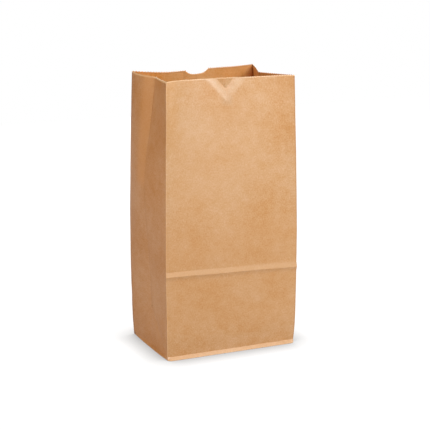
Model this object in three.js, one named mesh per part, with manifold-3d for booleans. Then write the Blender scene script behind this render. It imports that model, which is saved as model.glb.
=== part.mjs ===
// An opened brown paper lunch bag: one sheet of kraft paper, folded, glued and stood up.
// Millimetres, +Z up. The origin is the middle of the bottom. The plain front panel faces -Y.
// The back panel, at +Y, has the glued lap, the thumb notch and the fold of the flat bag.
import * as THREE from 'three';
import Module from 'manifold-3d';
import { mergeVertices } from 'three/addons/utils/BufferGeometryUtils.js';

// Sheet
const width = 155;
const depth = 99;
const height = 310;
const paper = 0.12;
const lapWidth = 17;
const lapStep = 0.5; // run over which the paper climbs on to the lap
const lapPlace = 10; // from the middle of the back panel towards its left fold

// Saw-toothed edge and thumb notch
const toothPitch = 2.9;
const toothDepth = 0.9;
const notchWidth = 31.4;
const notchDepth = 5.4;
const notchFullness = 3.2; // power of the notch's outline: 2 is a parabola, more is squarer
const notchPlace = 1.2; // from the middle of the back panel towards its left fold

// Glued bottom
const floorLayers = 3;
const flapOverlap = 16;
const bottomEdge = 1.2; // width of the folded edge that runs round the bottom

// Prints that the flat bag's folds pressed into the front, and its own folds
const bandWidth = 5.8;
const bandRun = 6.5;
const bandRidge = 1.2;
const bandTilt = 5;
const bandBow = 1;
const bandBlend = 40;
const lipHeight = 3.4;
const lipSet = 1.2;
const lipFlare = 2.6;
const lipEnd = 4; // run from a corner over which the lip grows to its full flare
const lipBlend = 20;
const gussetFlare = 2;
const backFlare = 1.5;
const foldSet = 0.8;
const diagonalSet = 0.7;

// Pressed V in the middle of the front's upper edge
const dentPlace = -2;
const dentWidth = 51;
const dentReach = 27.5;
const dentInnerReach = 12;
const dentDepth = 3;
const dentPower = 1.5; // 1 is a straight slope, more starts softly and ends steeply
const dentReturn = 1.3; // how much of its depth the inner triangle gives back for each band's height

// How the upright folds stand: swelling out at mid height, and moved at the rim
const swellFrontLeft = 1.5;
const swellFrontRight = 3.4;
const swellBackLeft = 3.7;
const swellBackRight = 3;
const swellRise = 0.75; // power that puts the swelling's peak below the middle
const cornerShare = 0.15; // share of the front's and back's relief that moves the fold sideways too
const footFrontRight = new THREE.Vector3(0.6, -0.6, 0);
const footBackLeft = new THREE.Vector3(-2, 3, 0);
const rimFrontLeft = new THREE.Vector3(1.2, 0.5, 0.3);
const rimFrontRight = new THREE.Vector3(-2.6, -0.4, -0.3);
const rimBackRight = new THREE.Vector3(-7.6, -2.4, 0.9);
const rimBackLeft = new THREE.Vector3(-1.5, -1.4, 0.5);
const rimLeftCrease = new THREE.Vector3(0, -4, 0.2);
const rimRightCrease = new THREE.Vector3(0, -2.6, -1.4);

// Outward place of each gusset's centre crease, in mm, at shares of the height
const leftCreaseRun = [[0, 0], [0.2, 0], [0.37, 2.7], [0.57, 7], [0.7, 5], [0.81, 0], [1, -6.2]];
const rightCreaseRun = [[0, 0], [0.2, 0], [0.4, 2.5], [0.6, 2], [0.8, -5], [1, -23.8]];

// How the panels bow: inwards at the rim, and a little outwards in the middle
const bendReach = 165; // height below the rim over which a panel bends inwards
const bendPower = 1.35; // 1 leans back straight from a kink, more bends evenly
const bendDrop = 0.44; // how far the rim comes down, in shares of its bow squared over the bend's reach
const frontBelly = 2.5;
const backBelly = 3;
const frontBowRun = [[0, 0], [0.1, 8.6], [0.25, 12.4], [0.45, 11], [0.65, 8.6], [0.84, 6.8], [1, 0]];
const backBowRun = [[0, 0], [0.14, 5.5], [0.42, 9.5], [0.74, 17], [0.88, 11.7], [1, 0]];
const gussetBelly = 0.4;
const leftBackBelly = 4.5;
const rightBackBelly = 0.4;

// Fineness of the mesh
const columnStep = 10;
const rowStep = 20;
const dentCells = 3; // rows of the mesh in the V's band
const creaseStep = depth / 8; // puts a vertex wherever a row meets a diagonal fold

// Places worked out from the sizes
const bandTop = depth; // the flat bag's bottom lies up against it and reaches this high
const ridgeHeight = bandTop - bandWidth;
const foldHeight = depth / 2;
const rimStrip = Math.max(dentInnerReach, notchDepth + toothDepth + 2);
const floorHeight = floorLayers * paper;

// A smooth run through a few chosen [share, value] places.
function smoothRun(places) {
  const shares = places.map(([share]) => share);
  const values = places.map(([, value]) => value);
  const curve = new THREE.CubicInterpolant(shares, values, 1);
  return (share) => curve.evaluate(share)[0];
}

// 1 at the place itself, falling straight to 0 at the reach on either side.
const hat = (value, place, reach) => Math.max(0, 1 - Math.abs(value - place) / reach);

// The front's relief at a height: the set behind its lip and the ridge under the band. The band falls
// straight back above the ridge, and the paper under the ridge curves back.
function frontPrint(v) {
  const lip = v < lipHeight ? v / lipHeight : Math.max(0, 1 - (v - lipHeight) / lipBlend);
  const ridge = v > ridgeHeight ? hat(v, ridgeHeight, bandWidth) : hat(v, ridgeHeight, bandRun) ** 2;
  return bandRidge * ridge - lipSet * lip;
}

// How far the bottom's folded edge has flared outwards at a height: all of it on the ground.
const flareAt = (v) => hat(v, 0, lipHeight);

// A corner fold: side is -1 at the left and 1 at the right, face is -1 at the front and 1 at the back.
function cornerFold(side, face, swell, foot, rim) {
  return (v) => {
    const share = v / height;
    const swelling = swell * Math.sin(Math.PI * share ** swellRise);
    const relief = face < 0 ? frontPrint(v) : -foldSet * hat(v, foldHeight, creaseStep);
    const tilt = face < 0 ? -side * 0.5 * bandTilt * hat(v, ridgeHeight, bandBlend) : 0;
    const outward = width / 2 + swelling + relief * cornerShare;
    return new THREE.Vector3(side * outward, face * (depth / 2 + relief), v + tilt)
      .addScaledVector(foot, 1 - share)
      .addScaledVector(rim, share);
  };
}

// A gusset's centre crease, with a dimple where the diagonal folds meet on it.
function centreCrease(side, run, rim) {
  const outward = smoothRun(run);
  return (v) => {
    const share = v / height;
    const relief = gussetFlare * flareAt(v) - foldSet * hat(v, foldHeight, creaseStep);
    return new THREE.Vector3(side * (width / 2 + outward(share) + relief), 0, v)
      .addScaledVector(rim, share ** 3);
  };
}

const noFoot = new THREE.Vector3();
const frontLeft = cornerFold(-1, -1, swellFrontLeft, noFoot, rimFrontLeft);
const frontRight = cornerFold(1, -1, swellFrontRight, footFrontRight, rimFrontRight);
const backRight = cornerFold(1, 1, swellBackRight, noFoot, rimBackRight);
const backLeft = cornerFold(-1, 1, swellBackLeft, footBackLeft, rimBackLeft);
const leftCrease = centreCrease(-1, leftCreaseRun, rimLeftCrease);
const rightCrease = centreCrease(1, rightCreaseRun, rimRightCrease);

// The V: its band falls inwards up to the inner triangle, which comes back out towards the rim.
function dentAt(across, v) {
  const rise = (dentReach / (dentWidth / 2)) * Math.abs(across - width / 2 - dentPlace);
  const bandHeight = dentReach - dentInnerReach;
  const level = (v - (height - dentReach) - rise) / bandHeight;
  const share = level < 1 ? Math.max(0, level) ** dentPower : Math.max(0, 1 - dentReturn * (level - 1));
  return dentDepth * share;
}

// How far a panel's rim bow has grown at a height: nothing below the bend, all of it at the rim.
const bend = (v) => Math.max(0, 1 - (height - v) / bendReach) ** bendPower;
const belly = (t, v) => Math.sin(Math.PI * t) * Math.sin(Math.PI * (v / height) ** swellRise);

// Share of a main panel's flare at a place across it: none at its corners, all of it past the lip's ends.
function flareAcross(t) {
  const end = Math.min(1, (Math.min(t, 1 - t) * width) / lipEnd);
  return 1 - (1 - end) ** 2;
}

const frontBow = smoothRun(frontBowRun);
const backBow = smoothRun(backBowRun);

function frontRelief(t, v) {
  const flare = lipFlare * flareAt(v) * flareAcross(t);
  return frontBelly * belly(t, v) - frontBow(t) * bend(v) - dentAt(t * width, v) + flare;
}

function backRelief(t, v) {
  const fromLap = Math.abs((t - 0.5) * width - lapPlace);
  const lap = Math.min(1, Math.max(0, (lapWidth / 2 + lapStep - fromLap) / lapStep));
  const flare = backFlare * flareAt(v) * flareAcross(t);
  return backBelly * belly(t, v) - backBow(t) * bend(v) + paper * lap + flare;
}

// Half a gusset: the diagonal fold rises from the bottom corner to the centre crease.
function gussetRelief(bulge, cornerAt) {
  return (t, v) => {
    const fromCorner = Math.abs(t - cornerAt);
    const arch = Math.sin(Math.PI * t);
    const diagonal = hat(v, fromCorner * foldHeight, creaseStep) * arch;
    const flare = gussetFlare * flareAt(v) * (Math.sin((Math.PI / 2) * fromCorner) - fromCorner);
    return bulge * arch * (v / height) - diagonalSet * diagonal + flare;
  };
}

// Even steps between the marks, none longer than the given step.
function stations(marks, step) {
  const sorted = [...new Set(marks)].sort((a, b) => a - b);
  const places = [];
  for (let i = 0; i < sorted.length - 1; i += 1) {
    const gap = sorted[i + 1] - sorted[i];
    const count = Math.ceil(gap / step);
    for (let k = 0; k < count; k += 1) places.push(sorted[i] + (gap * k) / count);
  }
  return [...places, sorted.at(-1)];
}

// Columns that cross the V where rows of the mesh do, so that the mesh's diagonals follow its arms.
const dentMiddle = width / 2 + dentPlace;
const dentRow = (dentReach - rimStrip) / dentCells;
const dentColumn = (dentRow * dentWidth) / (2 * dentReach);
const dentPlaces = [dentMiddle - dentWidth / 2, dentMiddle, dentMiddle + dentWidth / 2];
for (let k = 1; k <= dentCells; k += 1) {
  dentPlaces.push(dentMiddle - k * dentColumn, dentMiddle + k * dentColumn);
}
const frontMarks = [0, lipEnd, ...dentPlaces, width - lipEnd, width];
const lapMiddle = width / 2 + lapPlace;
const lapHalves = [lapWidth / 2, lapWidth / 2 + lapStep];
const lapEdges = lapHalves.flatMap((half) => [lapMiddle - half, lapMiddle + half]);
const backMarks = [0, lipEnd, ...lapEdges, width - lipEnd, width];
const halfMarks = [0, depth / 2];

const front = new THREE.Vector3(0, -1, 0);
const right = new THREE.Vector3(1, 0, 0);
const back = new THREE.Vector3(0, 1, 0);
const left = new THREE.Vector3(-1, 0, 0);

const halfGusset = (from, to, outward, bulge) => ({
  from,
  to,
  across: depth / 2,
  outward,
  relief: gussetRelief(bulge, to === leftCrease || to === rightCrease ? 0 : 1),
  marks: halfMarks,
});

// The panels in order round the bag, anticlockwise from above.
const frontPanel = { from: frontLeft, to: frontRight, across: width, outward: front, relief: frontRelief,
  marks: frontMarks };
const backPanel = { from: backRight, to: backLeft, across: width, outward: back, relief: backRelief,
  marks: backMarks };
const panels = [
  frontPanel,
  halfGusset(frontRight, rightCrease, right, gussetBelly),
  halfGusset(rightCrease, backRight, right, rightBackBelly),
  backPanel,
  halfGusset(backLeft, leftCrease, left, leftBackBelly),
  halfGusset(leftCrease, frontLeft, left, gussetBelly),
];

// The place in space of a place on the sheet: t runs across the panel from 0 to 1, v up the sheet.
// A panel that leans inwards comes down by what its slope takes from its height.
function placeOnSheet(panel, t, v) {
  const relief = panel.relief(t, v);
  const place = panel.from(v).lerp(panel.to(v), t).addScaledVector(panel.outward, relief);
  place.z -= bendDrop * (relief ** 2 / bendReach) * bend(v);
  if (panel === frontPanel) place.z += bandBow * Math.sin(Math.PI * t) * hat(v, ridgeHeight, bandBlend);
  return place;
}

// Upper edge of the sheet: saw teeth all round, and the thumb notch in the back.
function cutHeight(panel, t, tooth) {
  const q = Math.abs((t - 0.5) * panel.across - notchPlace) / (notchWidth / 2);
  const notch = panel === backPanel && q < 1 ? notchDepth * (1 - q ** notchFullness) : 0;
  return height - notch - toothDepth * tooth;
}

// Stations round the bag. Each has its panel, its share t across it, and its order round the bag.
const columns = panels.flatMap((panel, order) => {
  const step = panel.across < width ? panel.across / 4 : columnStep;
  const places = stations(panel.marks, step).slice(0, -1);
  return places.map((x) => ({ panel, t: x / panel.across, order: order + x / panel.across }));
});

const rimStations = panels.flatMap((panel, order) => {
  const steps = 2 * Math.max(1, Math.round(panel.across / toothPitch));
  return Array.from({ length: steps }, (_, k) => (
    { panel, t: k / steps, order: order + k / steps, tooth: 1 - (k % 2) }));
});

const rowMarks = [0, lipHeight, ridgeHeight - bandRun, ridgeHeight - bandRun / 3, ridgeHeight, bandTop];
for (let k = 1; k <= 4; k += 1) rowMarks.push(k * creaseStep);
for (let k = 0; k <= dentCells; k += 1) rowMarks.push(height - dentReach + k * dentRow);
const rows = stations(rowMarks, rowStep);

// Outer side of the sheet, as rows of places from the bottom up, with the toothed rim last.
const outerRows = [
  ...rows.map((v) => columns.map(({ panel, t }) => placeOnSheet(panel, t, v))),
  rimStations.map(({ panel, t, tooth }) => placeOnSheet(panel, t, cutHeight(panel, t, tooth))),
];

// Whether the mesh's diagonals rise to the right there, as the gussets' diagonal folds and the V's arms do.
function rises({ panel, t }) {
  if (panel === frontPanel) return t * width > dentMiddle - dentColumn / 2;
  return panel.to === rightCrease || panel.to === leftCrease;
}

// Faces of the sheet, for vertices numbered row by row: a grid of quads, then the strip below the rim.
function sheetFaces() {
  const faces = [];
  const across = columns.length;
  for (let j = 0; j < rows.length - 1; j += 1) {
    for (let i = 0; i < across; i += 1) {
      const next = (i + 1) % across;
      const [low, high] = [j * across, (j + 1) * across];
      const [a, b, c, d] = [low + i, low + next, high + next, high + i];
      if (rises(columns[i])) faces.push([a, b, c], [a, c, d]);
      else faces.push([a, b, d], [b, c, d]);
    }
  }
  const low = (rows.length - 1) * across;
  const high = rows.length * across;
  let [i, k] = [0, 0];
  while (i < across || k < rimStations.length) {
    const nextLow = i < across - 1 ? columns[i + 1].order : panels.length;
    const nextHigh = k < rimStations.length - 1 ? rimStations[k + 1].order : panels.length;
    const [a, b] = [low + (i % across), high + (k % rimStations.length)];
    if (k >= rimStations.length || (i < across && nextLow < nextHigh)) {
      faces.push([a, low + ((i + 1) % across), b]);
      i += 1;
    } else {
      faces.push([a, high + ((k + 1) % rimStations.length), b]);
      k += 1;
    }
  }
  return faces;
}

// The sheet's other side: each vertex moved in along its normal, further where a fold turns sharply.
function innerSide(vertices, faces) {
  const normals = vertices.map(() => new THREE.Vector3());
  const areas = vertices.map(() => 0);
  const triangle = new THREE.Triangle();
  for (const face of faces) {
    triangle.set(...face.map((index) => vertices[index]));
    const normal = triangle.getNormal(new THREE.Vector3());
    const area = triangle.getArea();
    for (const index of face) {
      normals[index].addScaledVector(normal, area);
      areas[index] += area;
    }
  }
  return vertices.map((vertex, index) => {
    const spread = normals[index].length() / areas[index];
    return vertex.clone().addScaledVector(normals[index].normalize(), -paper / spread);
  });
}

// One closed skin: the sheet's two sides, the cut edge between them, the floor and the underside.
function bagGeometry() {
  const outer = outerRows.flat();
  const faces = sheetFaces();
  const inner = innerSide(outer, faces);
  for (let i = 0; i < columns.length; i += 1) {
    const above = inner[columns.length + i];
    inner[i].lerp(above, (floorHeight - inner[i].z) / (above.z - inner[i].z));
  }

  const shift = outer.length;
  const all = [...faces, ...faces.map(([a, b, c]) => [shift + a, shift + c, shift + b])];
  const rim = rows.length * columns.length;
  for (let k = 0; k < rimStations.length; k += 1) {
    const [a, b] = [rim + k, rim + ((k + 1) % rimStations.length)];
    all.push([a, b, shift + b], [a, shift + b, shift + a]);
  }
  const ends = (vertices) => {
    const outline = vertices.slice(0, columns.length).map(({ x, y }) => new THREE.Vector2(x, y));
    return THREE.ShapeUtils.triangulateShape(outline, []);
  };
  for (const [a, b, c] of ends(outer)) all.push([a, c, b]);
  for (const face of ends(inner)) all.push(face.map((index) => shift + index));

  const geometry = new THREE.BufferGeometry().setFromPoints([...outer, ...inner]);
  return geometry.setIndex(all.flat());
}

// Recesses of the underside. The outer flap, hinged on the back edge, hides all but the inner flap's
// hinge side and the two end triangles, and each layer lies one paper thickness deeper.
function recessShapes() {
  const [endX, endY] = [width / 2 - bottomEdge, depth / 2 - bottomEdge];
  const freeY = -flapOverlap / 2;
  const freeHalf = width / 2 - depth / 2 + freeY;
  const teeth = 2 * Math.max(1, Math.round((2 * freeHalf) / toothPitch));
  const freeEdge = Array.from({ length: teeth + 1 }, (_, k) => new THREE.Vector2(
    freeHalf - (2 * freeHalf * k) / teeth, freeY + (k % 2) * toothDepth));
  const corners = [[-endX, endY], [-endX, -endY], [endX, -endY], [endX, endY]]
    .map(([x, y]) => new THREE.Vector2(x, y));
  const aroundFlap = new THREE.Shape([...corners, ...freeEdge]);
  const ends = [-1, 1].map((side) => new THREE.Shape([
    new THREE.Vector2(side * endX, -side * endY),
    new THREE.Vector2(side * endX, side * endY),
    new THREE.Vector2(side * (width / 2 - depth / 2), 0),
  ]));
  return [{ shape: aroundFlap, layers: 1 }, ...ends.map((shape) => ({ shape, layers: 2 }))];
}

const wasm = await Module();
wasm.setup();

function solidFrom(geometry) {
  for (const name of ['normal', 'uv']) geometry.deleteAttribute(name);
  const merged = mergeVertices(geometry, 1e-5);
  return new wasm.Manifold(new wasm.Mesh({
    numProp: 3,
    vertProperties: new Float32Array(merged.attributes.position.array),
    triVerts: new Uint32Array(merged.index.array),
  }));
}

function recessSolid({ shape, layers }) {
  const below = 1;
  const geometry = new THREE.ExtrudeGeometry(shape, { depth: below + layers * paper, bevelEnabled: false });
  return solidFrom(geometry.translate(0, 0, -below));
}

function cutBag() {
  const recesses = recessShapes().map(recessSolid).reduce((all, one) => all.add(one));
  const { numProp, vertProperties, triVerts } = solidFrom(bagGeometry()).subtract(recesses).getMesh();
  const geometry = new THREE.BufferGeometry();
  geometry.setAttribute('position', new THREE.BufferAttribute(vertProperties, numProp));
  geometry.setIndex(new THREE.BufferAttribute(triVerts, 1));
  return geometry;
}

const kraft = new THREE.MeshStandardMaterial({ color: 0xd2a074, roughness: 0.88, metalness: 0 });
const bag = new THREE.Mesh(cutBag(), kraft);
bag.name = 'paper_bag';

const lunchBag = new THREE.Group();
lunchBag.add(bag);

export default lunchBag;
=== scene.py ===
"""An opened brown paper lunch bag, made the way the real one is: a flat sheet of kraft paper is laid out,
creased and saw-tooth cut, then folded up, closed at the lap and floored.

Sheet places are (u, v) in metres: u runs anticlockwise round the bag from the front left fold, v up from the
bottom edge. The bag stands on z = 0 with its plain front panel facing -Y.
"""

import logging
import math
from collections.abc import Callable
from dataclasses import dataclass, field
from enum import Enum

import bmesh
import bpy
from mathutils import Matrix, Vector, noise


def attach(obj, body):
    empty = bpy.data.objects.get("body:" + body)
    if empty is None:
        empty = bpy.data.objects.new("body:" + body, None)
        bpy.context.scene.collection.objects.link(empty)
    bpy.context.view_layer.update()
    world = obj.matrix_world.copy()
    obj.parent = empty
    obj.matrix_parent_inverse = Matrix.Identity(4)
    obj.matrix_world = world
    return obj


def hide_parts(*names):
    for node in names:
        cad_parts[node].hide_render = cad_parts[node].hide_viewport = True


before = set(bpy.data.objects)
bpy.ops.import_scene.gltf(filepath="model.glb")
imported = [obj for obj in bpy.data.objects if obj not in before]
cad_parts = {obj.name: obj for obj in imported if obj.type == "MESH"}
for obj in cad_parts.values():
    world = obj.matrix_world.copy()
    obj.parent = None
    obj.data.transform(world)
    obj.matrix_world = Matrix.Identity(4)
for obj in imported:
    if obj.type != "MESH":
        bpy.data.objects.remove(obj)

log = logging.getLogger("paper_bag")
MM = 0.001
# In metres: points nearer than SAME_PLACE are one point, and a HAIR only allows for rounding.
SAME_PLACE = 1e-5
HAIR = 1e-6

Color = tuple[float, float, float]
Socket = bpy.types.NodeSocket


def hat(value: float, place: float, reach: float) -> float:
    """Gives 1 at a place and falls straight to 0 at the reach on either side.

    Args:
        value: where to measure.
        place: where the peak stands.
        reach: distance from the peak to nothing.

    Returns:
        A share from 0 to 1.
    """
    return max(0.0, 1.0 - abs(value - place) / reach)


def ease(share: float) -> float:
    """Turns a share from 0 to 1 into one that starts and stops softly."""
    share = min(1.0, max(0.0, share))
    return share * share * (3.0 - 2.0 * share)


def with_borders(
    faces: list[bmesh.types.BMFace],
) -> list[bmesh.types.BMFace | bmesh.types.BMEdge | bmesh.types.BMVert]:
    """Gathers faces with their edges and corners, each once and in the same order every run.

    Args:
        faces: the faces.

    Returns:
        The faces, then their edges, then their corners.
    """
    edges = dict.fromkeys(edge for face in faces for edge in face.edges)
    verts = dict.fromkeys(vert for face in faces for vert in face.verts)
    return [*faces, *edges, *verts]


@dataclass(frozen=True)
class SmoothRun:
    """A smooth curve through a few chosen (share, millimetres) places."""

    places: tuple[tuple[float, float], ...]

    def _slope(self, index: int) -> float:
        """Gives the curve's slope at one of its places.

        Args:
            index: the place's number.

        Returns:
            The slope, in millimetres for the whole way along.
        """
        low = self.places[max(0, index - 1)]
        high = self.places[min(len(self.places) - 1, index + 1)]
        return (high[1] - low[1]) / (high[0] - low[0])

    def at(self, share: float) -> float:
        """Reads the curve.

        Args:
            share: how far along, from 0 to 1.

        Returns:
            The value there, in metres.
        """
        share = min(self.places[-1][0], max(self.places[0][0], share))
        index = max(i for i, place in enumerate(self.places[:-1]) if place[0] <= share)
        (x0, y0), (x1, y1) = self.places[index], self.places[index + 1]
        gap = x1 - x0
        s = (share - x0) / gap
        rise = (
            y0 * (1 + 2 * s) * (1 - s) ** 2
            + self._slope(index) * gap * s * (1 - s) ** 2
            + y1 * s * s * (3 - 2 * s)
            + self._slope(index + 1) * gap * s * s * (s - 1)
        )
        return rise * MM


@dataclass(frozen=True)
class SheetSizes:
    """Sizes of the cut sheet and of the folds that the flat bag's press left in it, in metres."""

    width: float = 0.155
    depth: float = 0.099
    height: float = 0.310
    paper: float = 0.00012
    lap_width: float = 0.017
    lap_step: float = 0.0005
    lap_place: float = 0.010
    tooth_pitch: float = 0.0029
    tooth_depth: float = 0.0009
    notch_width: float = 0.0314
    notch_depth: float = 0.0054
    notch_fullness: float = 3.2
    notch_place: float = 0.0012
    flap_overlap: float = 0.016
    bottom_edge: float = 0.0012
    band_width: float = 0.0058
    band_run: float = 0.0065
    band_ridge: float = 0.0012
    band_tilt: float = 0.005
    band_bow: float = 0.001
    band_blend: float = 0.040
    lip_height: float = 0.0034
    lip_set: float = 0.0012
    lip_flare: float = 0.0026
    lip_end: float = 0.004
    lip_blend: float = 0.020
    gusset_flare: float = 0.002
    back_flare: float = 0.0015
    fold_set: float = 0.0008
    diagonal_set: float = 0.0007
    dent_place: float = -0.002
    dent_width: float = 0.051
    dent_reach: float = 0.0275
    dent_inner_reach: float = 0.012
    dent_depth: float = 0.003
    dent_return: float = 1.3
    dent_power: float = 1.5

    @property
    def ridge_height(self) -> float:
        """Height of the ridge that the flat bag's bottom printed into the front."""
        return self.depth - self.band_width

    @property
    def fold_height(self) -> float:
        """Height of the flat bag's fold across the back."""
        return self.depth / 2

    @property
    def fold_reach(self) -> float:
        """How far the paper is set on either side of a pressed fold."""
        return self.depth / 8

    @property
    def dent_middle(self) -> float:
        """Place of the pressed V across the front."""
        return self.width / 2 + self.dent_place

    @property
    def dent_slope(self) -> float:
        """How steeply the arms of the pressed V rise."""
        return self.dent_reach / (self.dent_width / 2)

    @property
    def apex(self) -> float:
        """Distance from the bottom's middle to the inner tip of each end triangle."""
        return self.width / 2 - self.depth / 2

    @property
    def free_edge(self) -> float:
        """Place of the outer flap's free edge, measured from the bottom's middle."""
        return -self.flap_overlap / 2

    @property
    def floor_half(self) -> tuple[float, float]:
        """Half the width and half the depth of the bottom inside its folded edge."""
        return self.width / 2 - self.bottom_edge, self.depth / 2 - self.bottom_edge

    @property
    def floor_level(self) -> float:
        """Height below which all the paper belongs to the bottom."""
        return 2.5 * self.paper


@dataclass(frozen=True)
class Stance:
    """How the opened bag stands, in metres: its swelling, its bowed rim and its handled surface."""

    swell_rise: float = 0.75
    bend_reach: float = 0.165
    bend_power: float = 1.35
    bend_drop: float = 0.44
    corner_share: float = 0.15
    front_belly: float = 0.0025
    back_belly: float = 0.003
    gusset_belly: float = 0.0004
    left_back_belly: float = 0.0045
    right_back_belly: float = 0.0004
    front_bow: SmoothRun = SmoothRun(
        ((0, 0), (0.1, 8.6), (0.25, 12.4), (0.45, 11), (0.65, 8.6), (0.84, 6.8), (1, 0))
    )
    back_bow: SmoothRun = SmoothRun(((0, 0), (0.14, 5.5), (0.42, 9.5), (0.74, 17), (0.88, 11.7), (1, 0)))
    left_crease: SmoothRun = SmoothRun(
        ((0, 0), (0.2, 0), (0.37, 2.7), (0.57, 7), (0.7, 5), (0.81, 0), (1, -6.2))
    )
    right_crease: SmoothRun = SmoothRun(((0, 0), (0.2, 0), (0.4, 2.5), (0.6, 2), (0.8, -5), (1, -23.8)))
    wobble: float = 0.00035
    wobble_length: float = 0.045
    cockle: float = 0.00010
    cockle_length: float = 0.014
    cockle_shift: tuple[float, float, float] = (7.0, 3.0, 5.0)
    wave_seed: int = 8
    still_foot: float = 0.020


@dataclass(frozen=True)
class CornerFold:
    """One of the four upright corner folds: side is -1 at the left, face is -1 at the front."""

    side: int
    face: int
    swell: float
    rim: tuple[float, float, float]
    foot: tuple[float, float, float] = (0.0, 0.0, 0.0)

    def at(self, sizes: SheetSizes, stance: Stance, v: float) -> Vector:
        """Places a point of the fold.

        Args:
            sizes: the sheet's sizes.
            stance: how the bag stands.
            v: height on the sheet.

        Returns:
            The point in space.
        """
        share = v / sizes.height
        swelling = self.swell * math.sin(math.pi * max(0.0, share) ** stance.swell_rise)
        if self.face < 0:
            relief = front_print(sizes, v)
            tilt = -self.side * 0.5 * sizes.band_tilt * hat(v, sizes.ridge_height, sizes.band_blend)
        else:
            relief = -sizes.fold_set * hat(v, sizes.fold_height, sizes.fold_reach)
            tilt = 0.0
        x = self.side * (sizes.width / 2 + swelling + relief * stance.corner_share)
        y = self.face * (sizes.depth / 2 + relief)
        return Vector((x, y, v + tilt)) + Vector(self.foot) * (1 - share) + Vector(self.rim) * share


@dataclass(frozen=True)
class CentreCrease:
    """A gusset's upright centre crease: side is -1 at the left and 1 at the right."""

    side: int
    run: SmoothRun
    rim: tuple[float, float, float]

    def at(self, sizes: SheetSizes, stance: Stance, v: float) -> Vector:
        """Places a point of the crease.

        Args:
            sizes: the sheet's sizes.
            stance: how the bag stands; not used here.
            v: height on the sheet.

        Returns:
            The point in space.
        """
        share = v / sizes.height
        dimple = sizes.fold_set * hat(v, sizes.fold_height, sizes.fold_reach)
        outward = self.run.at(share) - dimple + sizes.gusset_flare * hat(v, 0.0, sizes.lip_height)
        return Vector((self.side * (sizes.width / 2 + outward), 0.0, v)) + Vector(self.rim) * share**3


def front_print(sizes: SheetSizes, v: float) -> float:
    """Gives the relief pressed right across the front at a height.

    Args:
        sizes: the sheet's sizes.
        v: height on the sheet.

    Returns:
        How far the paper stands out there: the band's ridge, less the set of the lip at the foot.
    """
    if v < sizes.lip_height:
        lip = v / sizes.lip_height
    else:
        lip = max(0.0, 1 - (v - sizes.lip_height) / sizes.lip_blend)
    if v > sizes.ridge_height:
        ridge = hat(v, sizes.ridge_height, sizes.band_width)
    else:
        ridge = hat(v, sizes.ridge_height, sizes.band_run) ** 2
    return sizes.band_ridge * ridge - sizes.lip_set * lip


class PanelKind(Enum):
    """The kinds of panel between two upright folds."""

    FRONT = "front"
    BACK = "back"
    GUSSET_FROM_CORNER = "gusset half that starts at a corner"
    GUSSET_TO_CORNER = "gusset half that ends at a corner"


@dataclass(frozen=True)
class Panel:
    """A panel of the sheet between two upright folds."""

    kind: PanelKind
    start: CornerFold | CentreCrease
    end: CornerFold | CentreCrease
    across: float
    outward: tuple[float, float, float]
    bulge: float = 0.0


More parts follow.
